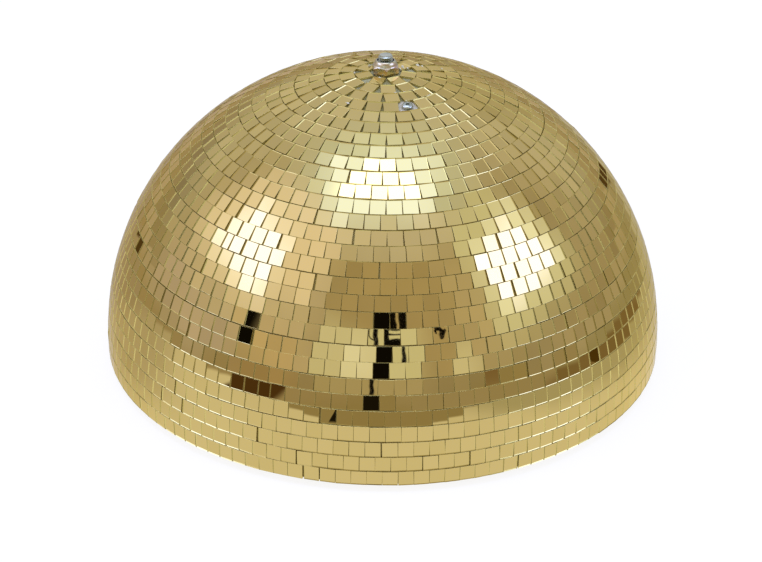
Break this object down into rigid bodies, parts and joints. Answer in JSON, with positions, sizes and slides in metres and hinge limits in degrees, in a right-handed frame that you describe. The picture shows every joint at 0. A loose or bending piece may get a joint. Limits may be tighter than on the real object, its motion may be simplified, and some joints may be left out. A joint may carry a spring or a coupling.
{
  "type": "half mirror ball",
  "caption": "Motor-driven half mirror ball for a ceiling: a gold glass mosaic dome on a threaded rod turns on a round base plate with a synchronous gear motor.",
  "frame": {"origin": "on the axis of rotation, in the underside of the base plate, the face that meets the ceiling", "axes": "+Z along the axis of rotation towards the pole of the ball; -Y is the front; +X to the right seen from the front"},
  "size_m": [0.4, 0.4, 0.2212],
  "materials": {
    "gold_mirror": "gold mirror glass, 10 mm tiles",
    "shell_plastic": "moulded shell with hardened glue film",
    "zinc_steel": "bright zinc plate, slightly iridescent",
    "black_steel": "blackened steel",
    "coated_steel": "white powder coat",
    "plated_steel": "plated sheet steel",
    "sintered_bronze": "sintered bronze",
    "brass_gear": "machined brass",
    "brass_screw": "machined brass",
    "enamelled_copper": "enamelled copper winding",
    "white_nylon": "natural nylon",
    "black_nylon": "black nylon",
    "ferrite": "sintered ferrite",
    "black_rubber": "soft rubber",
    "blue_insulation": "cable insulation",
    "brown_insulation": "cable insulation",
    "green_yellow_insulation": "cable insulation"
  },
  "bodies": {
    "base": {"base_plate": "coated_steel", "motor_bridge": "coated_steel", "bridge_screw_1": "zinc_steel", "bridge_screw_2": "zinc_steel", "bridge_screw_3": "zinc_steel", "bridge_screw_4": "zinc_steel", "motor_can": "plated_steel", "pole_plate_lower": "plated_steel", "pole_plate_upper": "plated_steel", "coil_bobbin": "white_nylon", "stator_coil": "enamelled_copper", "gearbox_plate": "plated_steel", "gearbox_cover": "plated_steel", "output_bush": "sintered_bronze", "rotor_pin": "zinc_steel", "gear_pin_1": "zinc_steel", "gear_pin_2": "zinc_steel", "gear_pin_3": "zinc_steel", "motor_screw_1": "zinc_steel", "motor_screw_2": "zinc_steel", "motor_nut_1": "zinc_steel", "motor_nut_2": "zinc_steel", "thrust_washer": "white_nylon", "terminal_block": "white_nylon", "live_lead": "brown_insulation", "neutral_lead": "blue_insulation", "earth_lead": "green_yellow_insulation", "earth_screw": "brass_screw", "cable_grommet": "black_rubber"},
    "ball": {"dome_shell": "shell_plastic", "mirror_band_01": "gold_mirror", "mirror_band_02": "gold_mirror", "mirror_band_03": "gold_mirror", "mirror_band_04": "gold_mirror", "mirror_band_05": "gold_mirror", "mirror_band_06": "gold_mirror", "mirror_band_07": "gold_mirror", "mirror_band_08": "gold_mirror", "mirror_band_09": "gold_mirror", "mirror_band_10": "gold_mirror", "hub_strap": "coated_steel", "hub_screw": "zinc_steel", "drive_rod": "zinc_steel", "lock_nut": "zinc_steel", "lock_nut_insert": "black_nylon", "inner_washer": "zinc_steel", "inner_nut": "zinc_steel", "coupling_sleeve": "zinc_steel", "set_screw_lower": "black_steel", "set_screw_upper": "black_steel", "coupling_jam_nut": "zinc_steel", "output_shaft": "zinc_steel", "shaft_circlip": "zinc_steel", "output_gear": "brass_gear"},
    "rotor": {"rotor_hub": "white_nylon", "rotor_magnet": "ferrite"},
    "gear_1": {"gear_1": "white_nylon"},
    "gear_2": {"gear_2": "white_nylon"},
    "gear_3": {"gear_3": "brass_gear"}
  },
  "joints": [
    {"name": "ball_spin", "type": "hinge", "parent": "base", "child": "ball", "pos_m": [0, 0, 0.07], "axis": [0, 0, 1], "continuous": true},
    {"name": "gear_3_spin", "type": "hinge", "parent": "base", "child": "gear_3", "pos_m": [-0.00676, 0.01423, 0.045], "axis": [0, 0, 1], "continuous": true},
    {"name": "gear_2_spin", "type": "hinge", "parent": "base", "child": "gear_2", "pos_m": [0.00789, 0.01276, 0.042], "axis": [0, 0, 1], "continuous": true},
    {"name": "gear_1_spin", "type": "hinge", "parent": "base", "child": "gear_1", "pos_m": [0.01426, 0, 0.038], "axis": [0, 0, 1], "continuous": true},
    {"name": "rotor_spin", "type": "hinge", "parent": "base", "child": "rotor", "pos_m": [0, 0, 0.02], "axis": [0, 0, 1], "continuous": true}
  ],
  "couplings": [
    {"joint": "gear_3_spin", "follows": "ball_spin", "ratio": -2.5},
    {"joint": "gear_2_spin", "follows": "ball_spin", "ratio": 9},
    {"joint": "gear_1_spin", "follows": "ball_spin", "ratio": -32.4},
    {"joint": "rotor_spin", "follows": "ball_spin", "ratio": 116.64}
  ]
}
